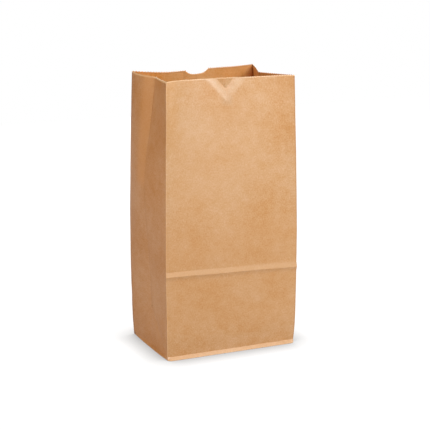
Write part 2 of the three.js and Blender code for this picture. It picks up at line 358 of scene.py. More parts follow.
@dataclass
class FoldedForm:
    """Where each place of the flat sheet lies when the bag stands open."""

    sizes: SheetSizes = field(default_factory=SheetSizes)
    stance: Stance = field(default_factory=Stance)

    def __post_init__(self) -> None:
        """Sets the six panels in order round the bag, and the seed of the paper's waves."""
        noise.seed_set(self.stance.wave_seed)
        stance, wide, half = self.stance, self.sizes.width, self.sizes.depth / 2
        front_left = CornerFold(-1, -1, swell=0.0015, rim=(0.0012, 0.0005, 0.0003))
        front_right = CornerFold(
            1, -1, swell=0.0034, rim=(-0.0026, -0.0004, -0.0003), foot=(0.0006, -0.0006, 0.0)
        )
        back_right = CornerFold(1, 1, swell=0.0030, rim=(-0.0076, -0.0024, 0.0009))
        back_left = CornerFold(
            -1, 1, swell=0.0037, rim=(-0.0015, -0.0014, 0.0005), foot=(-0.0020, 0.0030, 0.0)
        )
        left_crease = CentreCrease(-1, stance.left_crease, rim=(0.0, -0.0040, 0.0002))
        right_crease = CentreCrease(1, stance.right_crease, rim=(0.0, -0.0026, -0.0014))
        front, right, back, left = (0, -1, 0), (1, 0, 0), (0, 1, 0), (-1, 0, 0)
        from_corner, to_corner = PanelKind.GUSSET_FROM_CORNER, PanelKind.GUSSET_TO_CORNER
        self.panels: tuple[Panel, ...] = (
            Panel(PanelKind.FRONT, front_left, front_right, wide, front),
            Panel(from_corner, front_right, right_crease, half, right, stance.gusset_belly),
            Panel(to_corner, right_crease, back_right, half, right, stance.right_back_belly),
            Panel(PanelKind.BACK, back_right, back_left, wide, back),
            Panel(from_corner, back_left, left_crease, half, left, stance.left_back_belly),
            Panel(to_corner, left_crease, front_left, half, left, stance.gusset_belly),
        )

    def starts(self) -> list[float]:
        """Adds up the panels along the sheet.

        Returns:
            Each panel's start, and the sheet's end.
        """
        places = [0.0]
        for panel in self.panels:
            places.append(places[-1] + panel.across)
        return places

    def bend(self, v: float) -> float:
        """Gives how far the rim's bow has grown at a height."""
        return max(0.0, 1 - (self.sizes.height - v) / self.stance.bend_reach) ** self.stance.bend_power

    def belly(self, t: float, v: float) -> float:
        """Gives the share of a panel's outward swelling at a place on it."""
        share = max(0.0, v / self.sizes.height)
        return math.sin(math.pi * t) * math.sin(math.pi * share**self.stance.swell_rise)

    def dent(self, across: float, v: float) -> float:
        """Gives the depth of the pressed V in the front's upper edge.

        Args:
            across: place across the front panel.
            v: height on the sheet.

        Returns:
            How far the paper is pushed in there.
        """
        s = self.sizes
        rise = s.dent_slope * abs(across - s.dent_middle)
        level = (v - (s.height - s.dent_reach) - rise) / (s.dent_reach - s.dent_inner_reach)
        if level < 1:
            return s.dent_depth * max(0.0, level) ** s.dent_power
        return s.dent_depth * max(0.0, 1 - s.dent_return * (level - 1))

    def lap(self, across: float) -> float:
        """Gives the share of the glued lap's step at a place, measured from the back panel's middle."""
        s = self.sizes
        return min(1.0, max(0.0, (s.lap_width / 2 + s.lap_step - abs(across - s.lap_place)) / s.lap_step))

    def foot_flare(self, t: float, v: float) -> float:
        """Gives the share of a main panel's flare along its foot, which ends rounded at the corners.

        Args:
            t: share of the way across the panel.
            v: height on the sheet.

        Returns:
            A share from 0 to 1.
        """
        s = self.sizes
        end = min(1.0, min(t, 1 - t) * s.width / s.lip_end)
        return hat(v, 0.0, s.lip_height) * (1 - (1 - end) ** 2)

    def relief(self, panel: Panel, t: float, v: float) -> float:
        """Gives how far a panel's paper stands out from the straight line between its folds.

        Args:
            panel: the panel.
            t: share of the way across it.
            v: height on the sheet.

        Returns:
            The distance along the panel's outward direction.
        """
        s, stance = self.sizes, self.stance
        if panel.kind is PanelKind.FRONT:
            swelling = stance.front_belly * self.belly(t, v) - stance.front_bow.at(t) * self.bend(v)
            return swelling - self.dent(t * s.width, v) + s.lip_flare * self.foot_flare(t, v)
        if panel.kind is PanelKind.BACK:
            swelling = stance.back_belly * self.belly(t, v) - stance.back_bow.at(t) * self.bend(v)
            return swelling + s.paper * self.lap((t - 0.5) * s.width) + s.back_flare * self.foot_flare(t, v)
        from_corner = t if panel.kind is PanelKind.GUSSET_FROM_CORNER else 1 - t
        arch = math.sin(math.pi * t)
        diagonal = s.diagonal_set * hat(v, from_corner * s.fold_height, s.fold_reach)
        round_foot = hat(v, 0.0, s.lip_height) * (math.sin(math.pi / 2 * from_corner) - from_corner)
        return (panel.bulge * (v / s.height) - diagonal) * arch + s.gusset_flare * round_foot

    def wobble(self, place: Vector) -> Vector:
        """Gives the small waves and cockles of handled paper, none of them at the bottom.

        Args:
            place: the smooth bag's place.

        Returns:
            How far the paper lies from it.
        """
        stance = self.stance
        waves = noise.noise_vector(place / stance.wobble_length) * stance.wobble
        shifted = place / stance.cockle_length + Vector(stance.cockle_shift)
        return (waves + noise.noise_vector(shifted) * stance.cockle) * ease(place.z / stance.still_foot)

    def place(self, u: float, v: float) -> Vector:
        """Folds one place of the sheet.

        Args:
            u: place along the sheet.
            v: height on the sheet.

        Returns:
            The place in space.
        """
        s, stance, starts = self.sizes, self.stance, self.starts()
        index = max(i for i in range(len(self.panels)) if starts[i] <= u + HAIR)
        panel = self.panels[index]
        t = min(1.0, max(0.0, (u - starts[index]) / panel.across))
        relief = self.relief(panel, t, v)
        straight = panel.start.at(s, stance, v).lerp(panel.end.at(s, stance, v), t)
        spot = straight + Vector(panel.outward) * relief
        spot.z -= stance.bend_drop * (relief**2 / stance.bend_reach) * self.bend(v)
        if panel.kind is PanelKind.FRONT:
            spot.z += s.band_bow * math.sin(math.pi * t) * hat(v, s.ridge_height, s.band_blend)
        return spot + self.wobble(spot)


@dataclass(frozen=True)
class SheetMark:
    """A soft-edged patch of the sheet, from low to high in metres, where the colour is changed by handling or
    by painted light and shade.

    A turned mark's low and high are measured from its pivot, along axes turned by an angle in degrees.
    """

    low: tuple[float, float]
    high: tuple[float, float]
    color: Color
    weight: float
    soft: float = 0.0004
    pivot: tuple[float, float] = (0.0, 0.0)
    turn: float = 0.0


@dataclass
class Handling:
    """The marks on the sheet, in their order of painting: some left by pressing, gluing, cutting and
    handling, and many that are painted light and shade.
    """

    form: FoldedForm
    # wear along the front left fold, with a painted highlight of its rounded edge
    wear_and_highlight: Color = (0.80, 0.54, 0.30)
    # painted shade along folds and creases
    shaded: Color = (0.50, 0.235, 0.085)
    frayed: Color = (0.90, 0.66, 0.38)
    # painted light: the bright strip beside the left gusset's crease
    painted_light: Color = (0.76, 0.415, 0.165)
    # painted sheen: the front's lighter top
    pale: Color = (0.70, 0.45, 0.25)
    # painted shade: the front's darker lower part
    low_painted_shade: Color = (0.63, 0.30, 0.09)
    # painted sheen on the flared lip, partly paper pressed paler
    lip: Color = (0.67, 0.44, 0.25)
    # painted sheen on the band above the ridge, partly paper pressed paler
    band: Color = (0.68, 0.42, 0.22)
    # painted shade over the V's tip and inner triangle
    dent_tip_shade: Color = (0.45, 0.32, 0.20)
    # painted sheen on the V's arms, partly paper pressed paler
    dent_arm_pressed_sheen: Color = (0.58, 0.43, 0.27)
    # painted shade along the gussets' diagonal folds
    diagonal: Color = (0.46, 0.21, 0.075)
    # painted shade in the pits where the diagonals meet the creases
    crease_pit_shade: Color = (0.22, 0.085, 0.03)
    # painted shadow under the lifted back left foot
    foot_shadow: Color = (0.25, 0.10, 0.03)
    glued: Color = (0.50, 0.215, 0.065)
    # darker lines at the lap's edges, and painted shade along the inside's folds
    lap_line_and_fold_shade: Color = (0.40, 0.155, 0.045)
    shadowed: Color = (0.50, 0.20, 0.04)
    beyond: float = 0.010

    def upright(
        self,
        spread: tuple[float, float],
        color: Color,
        weight: float,
        soft: float = 0.0004,
        foot: float | None = None,
    ) -> SheetMark:
        """Gives a mark that runs up the sheet to its upper edge.

        Args:
            spread: the mark's left and right sides along the sheet.
            color: its colour.
            weight: how strongly it covers the paper.
            soft: length over which its edges fade.
            foot: where it starts, or nothing for the sheet's bottom edge.

        Returns:
            The mark.
        """
        low = -self.beyond if foot is None else foot
        high = self.form.sizes.height + self.beyond
        return SheetMark((spread[0], low), (spread[1], high), color, weight, soft)

    def folds(self) -> list[SheetMark]:
        """Gives the front left fold's wear and painted highlight, and painted shade along the other folds and
        the gussets' creases.

        Returns:
            The marks.
        """
        first, front_right, right, back_right, back_left, left, last = self.form.starts()
        foot = self.form.sizes.fold_height
        return [
            # The front left fold: wear and a painted highlight along its rounded edge.
            self.upright((first - 0.0006, first + 0.0006), self.wear_and_highlight, 0.35),
            self.upright((last - 0.0006, last + 0.0002), self.wear_and_highlight, 0.35),
            # Painted shade along the other folds and the gussets' centre creases.
            self.upright((front_right - 0.0014, front_right + 0.0006), self.shaded, 0.5),
            self.upright((back_right - 0.0012, back_right + 0.0012), self.shaded, 0.5),
            self.upright((back_left - 0.0008, back_left + 0.0036), self.shaded, 0.7, 0.002),
            self.upright((left - 0.0002, left + 0.0022), self.shaded, 0.25, 0.001, foot),
            self.upright((right - 0.0022, right + 0.0002), self.shaded, 0.25, 0.001, foot),
        ]

    def rims(self) -> list[SheetMark]:
        """Gives the frayed saw-tooth edge, strongest on the gussets.

        Returns:
            The marks.
        """
        first, front_right, _, back_right, back_left, _, last = self.form.starts()
        edges = (
            (back_left, last, 0.0022, 0.9),
            (front_right, back_right, 0.0022, 0.9),
            (first, front_right, 0.0012, 0.5),
            (back_right, back_left, 0.0070, 0.25),
        )
        height = self.form.sizes.height
        return [
            self.upright((start, end), self.frayed, weight, foot=height - reach)
            for start, end, reach, weight in edges
        ]

    def zones(self) -> list[SheetMark]:
        """Gives the wide soft changes: a painted light strip by the left crease, painted shade beside the
        back left fold, a painted shadow under the back left foot, the front's top lighter with painted sheen
        and its lower part darker with painted shade, and its lip and band paler with painted sheen, partly
        paper pressed paler.

        Returns:
            The marks.
        """
        s = self.form.sizes
        first, front_right, _, _, back_left, left, _ = self.form.starts()
        low = -self.beyond
        return [
            # Painted light: the bright strip beside the left crease.
            self.upright((left - 0.018, left), self.painted_light, 0.5, 0.012, foot=0.190),
            # Painted shade beside the back left fold.
            self.upright((back_left, back_left + 0.014), self.shaded, 0.12, 0.010),
            # Painted shadow under the back left foot.
            SheetMark((back_left + 0.0005, low), (back_left + 0.0045, 0.0030), self.foot_shadow, 0.6, 0.001),
            # Painted sheen: the front's lighter top.
            SheetMark((first, 0.165), (0.110, 0.285), self.pale, 0.22, 0.060),
            # Painted shade: the front's darker lower part.
            SheetMark((first - 0.02, 0.030), (front_right + 0.02, 0.150), self.low_painted_shade, 0.25, 0.040),
            # Painted sheen on the lip, partly paper pressed paler.
            SheetMark((first, low), (front_right, s.lip_height), self.lip, 0.5),
            # Painted sheen on the band, partly paper pressed paler.
            SheetMark((first, s.ridge_height), (front_right, s.depth), self.band, 0.5, 0.003),
        ]

    def dent(self) -> list[SheetMark]:
        """Gives painted shade over the tip of the V pressed into the front's upper edge, and painted sheen on
        its arms, partly paper pressed paler.

        Returns:
            The marks.
        """
        s = self.form.sizes
        tip = (s.dent_middle, s.height - s.dent_reach)
        low, high = (tip[0] - 0.006, tip[1] - 0.002), (tip[0] + 0.006, tip[1] + 0.014)
        # Painted shade over the V's tip.
        marks = [SheetMark(low, high, self.dent_tip_shade, 0.20, 0.006)]
        rise = math.atan2(s.dent_reach, s.dent_width / 2)
        wide = (s.dent_reach - s.dent_inner_reach) * math.cos(rise)
        long = s.dent_reach / math.sin(rise) + self.beyond
        for side in (-1, 1):
            turn = math.degrees(rise) if side > 0 else 180 - math.degrees(rise)
            near, far = sorted((side * 0.001, side * wide))
            # Painted sheen on each arm, partly paper pressed paler.
            marks.append(SheetMark((0.012, near), (long, far), self.dent_arm_pressed_sheen, 0.35, 0.009, tip, turn))
        return marks

    def diagonals(self) -> list[SheetMark]:
        """Gives painted shade along the gussets' diagonal folds, and dots of painted shade where they meet.

        Returns:
            The marks.
        """
        height = self.form.sizes.fold_height
        _, front_right, right, back_right, back_left, left, last = self.form.starts()
        marks = []
        lines = (
            (front_right, 1, 0.0, 0.15),
            (back_right, -1, 0.0, 0.15),
            (back_left, 1, 0.0, 0.15),
            (last, -1, 0.018, 0.30),
        )
        for corner, side, foot, weight in lines:
            turn = math.degrees(math.atan2(height - foot, side * height))
            low, high = (0.008, -0.0007), (math.hypot(height - foot, height), 0.0007)
            # Painted shade along each diagonal fold.
            marks.append(SheetMark(low, high, self.diagonal, weight, 0.001, (corner, foot), turn))
        for crease in (right, left):
            low, high = (crease - 0.0008, height - 0.0008), (crease + 0.0008, height + 0.0008)
            # A dot of painted shade where the diagonals meet.
            marks.append(SheetMark(low, high, self.crease_pit_shade, 0.5, 0.0008))
        return marks

    def outside(self) -> tuple[SheetMark, ...]:
        """Gives all the marks on the bag's outside."""
        return (*self.folds(), *self.rims(), *self.zones(), *self.dent(), *self.diagonals())

    def inside(self) -> tuple[SheetMark, ...]:
        """Gives the inside's marks: the glued lap, darker lines at its edges, a painted shadow in a corner,
        painted shade along the folds, and a darker line under the rim.

        Returns:
            The marks.
        """
        s = self.form.sizes
        _, *folds, last = self.form.starts()
        back_right = folds[2]
        middle, half = back_right + s.width / 2 + s.lap_place, s.lap_width / 2
        marks = [
            self.upright((middle - half, middle + half), self.glued, 0.15, 0.001),
            self.upright((back_right - 0.002, back_right + 0.028), self.shadowed, 0.35, 0.020),
        ]
        # Darker lines at the lap's edges.
        for edge in (middle - half, middle + half):
            marks.append(self.upright((edge - 0.0008, edge + 0.0008), self.lap_line_and_fold_shade, 0.2, 0.0008))
        # Painted shade along the inside of each fold.
        for fold in folds:
            marks.append(self.upright((fold - 0.0006, fold + 0.0006), self.lap_line_and_fold_shade, 0.15, 0.0008))
        # A darker line just under the inner rim, in the glue's colour.
        marks.append(self.upright((-self.beyond, last), self.glued, 0.6, 0.0008, s.height - 0.0022))
        return tuple(marks)


@dataclass(frozen=True)
class KraftFinish:
    """Brown kraft paper: soft clouds, fine fibres and flecks, with its marks along folds and edges."""

    name: str
    pale: Color
    deep: Color
    marks: tuple[SheetMark, ...]
    roughness: float = 0.42
    sheen: float = 1.0
    cloud_scale: float = 22.0
    cloud_weight: float = 1.0
    patch_scale: float = 110.0
    patch_weight: float = 0.7
    grain_scale: float = 620.0
    grain_weight: float = 1.35
    fibre_scale: float = 1500.0
    fibre_weight: float = 0.9
    fibre_stretch: float = 0.22
    noise_roughness: float = 0.6
    ramp_margin: float = 0.1
    bump_depth: float = 0.00006

    def _noise(self, tree: bpy.types.NodeTree, coords: Socket, scale: float, detail: float) -> Socket:
        """Adds a noise texture on the given coordinates.

        Args:
            tree: the material's nodes.
            coords: the coordinates to read.
            scale: waves to the metre.
            detail: octaves of finer noise.

        Returns:
            The noise's value.
        """
        node = tree.nodes.new("ShaderNodeTexNoise")
        node.inputs["Scale"].default_value = scale
        node.inputs["Detail"].default_value = detail
        node.inputs["Roughness"].default_value = self.noise_roughness
        tree.links.new(coords, node.inputs["Vector"])
        return node.outputs["Fac"]

    def _math(self, tree: bpy.types.NodeTree, operation: str, *values: Socket | float) -> Socket:
        """Adds a sum on sockets and numbers.

        Args:
            tree: the material's nodes.
            operation: the sum's kind, as a math node names it.
            *values: its inputs in order.

        Returns:
            The sum's result.
        """
        node = tree.nodes.new("ShaderNodeMath")
        node.operation = operation
        for value, socket in zip(values, node.inputs):
            if isinstance(value, (int, float)):
                socket.default_value = value
            else:
                tree.links.new(value, socket)
        return node.outputs[0]

    def _weigh(self, tree: bpy.types.NodeTree, values: tuple[tuple[Socket, float], ...]) -> Socket:
        """Sums values about their middle of one half.

        Args:
            tree: the material's nodes.
            values: each value with its weight.

        Returns:
            One half, plus each value's weighted distance from one half.
        """
        total: Socket | float = 0.5 - 0.5 * sum(weight for _, weight in values)
        for value, weight in values:
            total = self._math(tree, "MULTIPLY_ADD", value, weight, total)
        return total

    def _span(self, tree: bpy.types.NodeTree, place: Socket, low: float, high: float, soft: float) -> Socket:
        """Tells how far a place lies inside a span with soft ends.

        Args:
            tree: the material's nodes.
            place: the place along the span's direction.
            low: the span's start.
            high: the span's end.
            soft: length over which the ends fade, half of it on each side.

        Returns:
            1 inside, 0 outside.
        """
        off = self._math(tree, "ABSOLUTE", self._math(tree, "SUBTRACT", place, (low + high) / 2))
        node = tree.nodes.new("ShaderNodeMapRange")
        node.interpolation_type = "SMOOTHSTEP"
        node.inputs["From Min"].default_value = (high - low) / 2 - soft / 2
        node.inputs["From Max"].default_value = (high - low) / 2 + soft / 2
        node.inputs["To Min"].default_value = 1.0
        node.inputs["To Max"].default_value = 0.0
        tree.links.new(off, node.inputs["Value"])
        return node.outputs["Result"]

    def _turned(
        self, tree: bpy.types.NodeTree, sheet: tuple[Socket, Socket], mark: SheetMark
    ) -> tuple[Socket, Socket]:
        """Measures the sheet along a mark's own axes.

        Args:
            tree: the material's nodes.
            sheet: the places along and up the sheet.
            mark: the turned mark.

        Returns:
            The places along and across the mark.
        """
        cosine, sine = math.cos(math.radians(mark.turn)), math.sin(math.radians(mark.turn))
        right = self._math(tree, "SUBTRACT", sheet[0], mark.pivot[0])
        rise = self._math(tree, "SUBTRACT", sheet[1], mark.pivot[1])
        along = self._math(tree, "MULTIPLY_ADD", right, cosine, self._math(tree, "MULTIPLY", rise, sine))
        across = self._math(tree, "MULTIPLY_ADD", right, -sine, self._math(tree, "MULTIPLY", rise, cosine))
        return along, across

    def _paint(
        self, tree: bpy.types.NodeTree, under: Socket, sheet: tuple[Socket, Socket], mark: SheetMark
    ) -> Socket:
        """Paints one mark over a colour.

        Args:
            tree: the material's nodes.
            under: the colour to paint over.
            sheet: the places along and up the sheet.
            mark: the mark.

        Returns:
            The colour with the mark.
        """
        if mark.turn:
            sheet = self._turned(tree, sheet, mark)
        across = self._span(tree, sheet[0], mark.low[0], mark.high[0], mark.soft)
        upward = self._span(tree, sheet[1], mark.low[1], mark.high[1], mark.soft)
        share = self._math(tree, "MULTIPLY", self._math(tree, "MULTIPLY", across, upward), mark.weight)
        mix = tree.nodes.new("ShaderNodeMix")
        mix.data_type = "RGBA"
        tree.links.new(share, mix.inputs["Factor"])
        tree.links.new(under, mix.inputs["A"])
        mix.inputs["B"].default_value = (*mark.color, 1.0)
        return mix.outputs["Result"]

    def _color(self, tree: bpy.types.NodeTree, flat: Socket, grain: Socket, fibres: Socket) -> Socket:
        """Makes the paper's colour: clouds, patches, grain and fibres between pale and deep, then the marks.

        Args:
            tree: the material's nodes.
            flat: the places on the sheet.
            grain: the grain's noise.
            fibres: the fibres' noise.

        Returns:
            The colour.
        """
        clouds = self._noise(tree, flat, self.cloud_scale, 4.0)
        patches = self._noise(tree, flat, self.patch_scale, 3.0)
        shades = (
            (clouds, self.cloud_weight),
            (patches, self.patch_weight),
            (grain, self.grain_weight),
            (fibres, self.fibre_weight),
        )
        ramp = tree.nodes.new("ShaderNodeValToRGB")
        ramp.color_ramp.elements[0].position = self.ramp_margin
        ramp.color_ramp.elements[0].color = (*self.deep, 1.0)
        ramp.color_ramp.elements[1].position = 1 - self.ramp_margin
        ramp.color_ramp.elements[1].color = (*self.pale, 1.0)
        tree.links.new(self._weigh(tree, shades), ramp.inputs["Fac"])
        split = tree.nodes.new("ShaderNodeSeparateXYZ")
        tree.links.new(flat, split.inputs[0])
        color = ramp.outputs["Color"]
        for mark in self.marks:
            color = self._paint(tree, color, (split.outputs["X"], split.outputs["Y"]), mark)
        return color

    def make(self) -> bpy.types.Material:
        """Makes the material.

        Returns:
            The paper's material.
        """
        material = bpy.data.materials.new(self.name)
        material.use_nodes = True
        tree = material.node_tree
        shader = tree.nodes["Principled BSDF"]
        shader.inputs["Roughness"].default_value = self.roughness
        shader.inputs["Specular IOR Level"].default_value = self.sheen
        sheet = tree.nodes.new("ShaderNodeUVMap")
        sheet.uv_map = "sheet"
        flat = sheet.outputs["UV"]
        stretch = tree.nodes.new("ShaderNodeMapping")
        stretch.inputs["Scale"].default_value = (1.0, self.fibre_stretch, 1.0)
        tree.links.new(flat, stretch.inputs["Vector"])
        grain = self._noise(tree, flat, self.grain_scale, 2.0)
        fibres = self._noise(tree, stretch.outputs["Vector"], self.fibre_scale, 2.0)
        tree.links.new(self._color(tree, flat, grain, fibres), shader.inputs["Base Color"])
        bump = tree.nodes.new("ShaderNodeBump")
        bump.inputs["Distance"].default_value = self.bump_depth
        bump.inputs["Strength"].default_value = 1.0
        tree.links.new(self._weigh(tree, ((grain, 1.0), (fibres, 1.0))), bump.inputs["Height"])
        tree.links.new(bump.outputs["Normal"], shader.inputs["Normal"])
        return material


@dataclass
class PaperBag:
    """The bag: cut flat, creased, folded up, floored and given the paper's thickness."""

    form: FoldedForm
    column_step: float = 0.0029
    row_step: float = 0.0026
    fine_step: float = 0.0010
    row_slack: float = 0.01
    sharp_angle: float = 12.0
    floor_map: tuple[float, float] = (0.3, -0.3)

    def bands(self) -> list[tuple[float, float, float]]:
        """Splits the sheet's height at its prints, folds and dents.

        Returns:
            The bands from the bottom up, as (low, high, row step).
        """
        s = self.form.sizes
        marks = [
            (0.0, self.fine_step),
            (s.lip_height, self.row_step),
            (s.fold_height, self.row_step),
            (s.ridge_height - s.band_run, self.fine_step),
            (s.ridge_height, self.fine_step),
            (s.depth, self.row_step),
            (s.height - s.dent_reach, self.fine_step * 2),
            (s.height - s.dent_inner_reach, self.fine_step * 1.5),
            (s.height, 0.0),
        ]
        return [(low, high, step) for (low, step), (high, _) in zip(marks, marks[1:])]

    def column_marks(self, panel: Panel) -> list[float]:
        """Gives the places across a panel where a column of the sheet has to start.

        Args:
            panel: the panel.

        Returns:
            The places, from 0 to the panel's width; the back's are at the lap's edges.
        """
        if panel.kind is not PanelKind.BACK:
            return [0.0, panel.across]
        s = self.form.sizes
        reaches = (s.lap_width / 2, s.lap_width / 2 + s.lap_step)
        edges = [s.lap_place + side * reach for side in (-1, 1) for reach in reaches]
        return sorted([0.0, panel.across, *(panel.across / 2 + edge for edge in edges)])

    def lay_sheet(self, mesh: bmesh.types.BMesh) -> None:
        """Lays the flat sheet out as grids that meet at every fold.

        Args:
            mesh: the empty mesh to lay it in.
        """
        for start, panel in zip(self.form.starts(), self.form.panels):
            marks = self.column_marks(panel)
            for left, right in zip(marks, marks[1:]):
                columns = max(1, round((right - left) / self.column_step))
                for low, high, step in self.bands():
                    rows = max(1, math.ceil((high - low) / step - self.row_slack))
                    middle = Vector((start + (left + right) / 2, (low + high) / 2, 0.0))
                    span = Matrix.Diagonal((right - left, high - low, 1.0, 1.0))
                    matrix = Matrix.Translation(middle) @ span
                    bmesh.ops.create_grid(mesh, x_segments=columns, y_segments=rows, size=0.5, matrix=matrix)
        bmesh.ops.remove_doubles(mesh, verts=mesh.verts[:], dist=SAME_PLACE)

    def score(
        self, mesh: bmesh.types.BMesh, inside: Callable[[Vector], bool], point: Vector, along: Vector
    ) -> None:
        """Cuts the faces of one region along a straight line, so that an edge follows it.

        Args:
            mesh: the flat sheet.
            inside: tells whether a face centre is in the region.
            point: a point on the line.
            along: the line's direction.
        """
        geom = with_borders([face for face in mesh.faces if inside(face.calc_center_median())])
        normal = Vector((-along.y, along.x, 0.0)).normalized()
        bmesh.ops.bisect_plane(mesh, geom=geom, dist=SAME_PLACE, plane_co=point, plane_no=normal)

    def score_gussets(self, mesh: bmesh.types.BMesh) -> None:
        """Scores the gussets' diagonal folds, from each corner up to the centre crease.

        Args:
            mesh: the flat sheet.
        """
        s, starts = self.form.sizes, self.form.starts()
        for low, high, panel in zip(starts, starts[1:], self.form.panels):
            if panel.kind in (PanelKind.FRONT, PanelKind.BACK):
                continue
            rising = panel.kind is PanelKind.GUSSET_FROM_CORNER
            self.score(
                mesh,
                lambda c, low=low, high=high: low < c.x < high and c.y < s.fold_height,
                Vector((low if rising else high, 0.0, 0.0)),
                Vector((1.0 if rising else -1.0, 1.0, 0.0)),
            )

    def score_dent(self, mesh: bmesh.types.BMesh) -> None:
        """Scores the middle and the arms of the V in the front's upper edge.

        Args:
            mesh: the flat sheet.
        """
        s, spare = self.form.sizes, self.column_step
        middle, reach = s.dent_middle, s.dent_width / 2 + spare
        zone = s.height - s.dent_reach - spare
        self.score(
            mesh,
            lambda c: abs(c.x - middle) < 2 * spare and c.y > zone,
            Vector((middle, 0.0, 0.0)),
            Vector((0.0, 1.0, 0.0)),
        )
        for side in (-1, 1):
            for foot in (s.height - s.dent_reach, s.height - s.dent_inner_reach):
                self.score(
                    mesh,
                    lambda c, side=side: 0 < side * (c.x - middle) < reach and c.y > zone,
                    Vector((middle, foot, 0.0)),
                    Vector((side, s.dent_slope, 0.0)),
                )

    def is_rim(self, edge: bmesh.types.BMEdge) -> bool:
        """Tells whether an edge of the flat sheet lies along its upper edge."""
        return all(vert.co.y > self.form.sizes.height - HAIR for vert in edge.verts)

    def cut_teeth(self, mesh: bmesh.types.BMesh) -> None:
        """Cuts the saw teeth round the upper edge.

        Args:
            mesh: the flat sheet.
        """
        s = self.form.sizes
        rim_edges = [edge for edge in mesh.edges if self.is_rim(edge) and edge.calc_length() > s.tooth_depth]
        made = bmesh.ops.subdivide_edges(mesh, edges=rim_edges, cuts=1)
        tips = {part for part in made["geom_inner"] if isinstance(part, bmesh.types.BMVert)}
        for vert in mesh.verts:
            if vert.co.y > s.height - HAIR and vert not in tips:
                vert.co.y -= s.tooth_depth

    def cut_notch(self, mesh: bmesh.types.BMesh) -> None:
        """Cuts the thumb notch in the back panel's upper edge.

        Args:
            mesh: the flat sheet.
        """
        s = self.form.sizes
        middle = self.form.starts()[3] + s.width / 2 + s.notch_place
        foot = s.height - s.dent_reach
        for vert in mesh.verts:
            q = abs(vert.co.x - middle) / (s.notch_width / 2)
            if q < 1 and vert.co.y > foot:
                depth = s.notch_depth * (1 - q**s.notch_fullness)
                vert.co.y -= depth * (vert.co.y - foot) / (s.height - foot)

    def write_sheet_map(self, mesh: bmesh.types.BMesh) -> None:
        """Stores each corner's place on the flat sheet, in metres, as the map that the finish reads.

        Args:
            mesh: the flat, cut sheet.
        """
        layer = mesh.loops.layers.uv.new("sheet")
        for face in mesh.faces:
            for loop in face.loops:
                loop[layer].uv = loop.vert.co.xy

    def fold(self, mesh: bmesh.types.BMesh) -> None:
        """Folds the sheet up and closes it at the lap.

        Args:
            mesh: the flat, cut sheet.
        """
        for vert in mesh.verts:
            vert.co = self.form.place(vert.co.x, vert.co.y)
        bmesh.ops.remove_doubles(mesh, verts=mesh.verts[:], dist=SAME_PLACE)

    def inside_floor(self, spot: Vector) -> bool:
        """Tells whether a place of the bottom lies inside its folded edge."""
        end_x, end_y = self.form.sizes.floor_half
        return abs(spot.x) < end_x and abs(spot.y) < end_y

    def behind_free_edge(self, spot: Vector, side: int) -> bool:
        """Tells whether a place in one half of the bottom lies behind the outer flap's free edge."""
        return self.inside_floor(spot) and side * spot.x > 0 and spot.y > self.form.sizes.free_edge

    def round_outer_flap(self, spot: Vector, side: int) -> bool:
        """Tells whether a place in one half lies on the outer flap or past the rear cut.

        Args:
            spot: the place.
            side: -1 for the left half, 1 for the right.

        Returns:
            Whether it does.
        """
        s = self.form.sizes
        beside = spot.y < s.free_edge or side * spot.x - spot.y > s.apex
        return self.inside_floor(spot) and side * spot.x > 0 and beside

    def floor_layers(self, spot: Vector) -> int:
        """Counts the paper layers between the ground and the layer seen from below.

        Args:
            spot: a place of the bottom.

        Returns:
            0 on the edge and the inner flap, 1 on the outer flap and 2 on the end triangles.
        """
        s, x = self.form.sizes, abs(spot.x)
        if not self.inside_floor(spot) or (spot.y > s.free_edge and x - spot.y < s.apex):
            return 0
        return 2 if x - abs(spot.y) > s.apex else 1

    def floor_faces(
        self, mesh: bmesh.types.BMesh, keep: Callable[[Vector], bool]
    ) -> list[bmesh.types.BMFace]:
        """Finds the chosen faces of the bottom.

        Args:
            mesh: the closed bag.
            keep: tells whether a face with this centre is wanted.

        Returns:
            The faces.
        """
        level = self.form.sizes.floor_level
        flat = [face for face in mesh.faces if all(vert.co.z < level for vert in face.verts)]
        return [face for face in flat if abs(face.normal.z) > 0.9 and keep(face.calc_center_median())]

    def cut_floor(
        self,
        mesh: bmesh.types.BMesh,
        point: tuple[float, float],
        normal: tuple[float, float],
        keep: Callable[[Vector], bool],
    ) -> None:
        """Cuts the chosen faces of the bottom along a line.

        Args:
            mesh: the closed bag.
            point: a point of the line.
            normal: the direction across it.
            keep: tells whether a face with this centre is cut.
        """
        geom = with_borders(self.floor_faces(mesh, keep))
        bmesh.ops.bisect_plane(mesh, geom=geom, dist=HAIR, plane_co=(*point, 0.0), plane_no=(*normal, 0.0))

    def cut_flaps(self, mesh: bmesh.types.BMesh) -> None:
        """Cuts the bottom along its folded edge, its flaps and its end triangles.

        Args:
            mesh: the closed bag.
        """
        s = self.form.sizes
        end_x, end_y = s.floor_half
        for side in (-1, 1):
            self.cut_floor(mesh, (side * end_x, 0.0), (1.0, 0.0), lambda c: True)
            self.cut_floor(mesh, (0.0, side * end_y), (0.0, 1.0), lambda c: True)
        self.cut_floor(mesh, (0.0, s.free_edge), (0.0, 1.0), self.inside_floor)
        self.cut_floor(mesh, (0.0, 0.0), (1.0, 0.0), self.inside_floor)
        for side in (-1, 1):
            tip = (side * s.apex, 0.0)
            self.cut_floor(mesh, tip, (1.0, -side), lambda c, side=side: self.behind_free_edge(c, side))
            self.cut_floor(mesh, tip, (1.0, side), lambda c, side=side: self.round_outer_flap(c, side))

    def on_free_edge(self, vert: bmesh.types.BMVert) -> bool:
        """Tells whether a point of the flat bottom lies on the outer flap's free edge.

        Args:
            vert: the point.

        Returns:
            Whether it does.
        """
        s = self.form.sizes
        within = abs(vert.co.x) < s.apex + s.free_edge + SAME_PLACE
        return vert.co.z < HAIR and abs(vert.co.y - s.free_edge) < SAME_PLACE and within

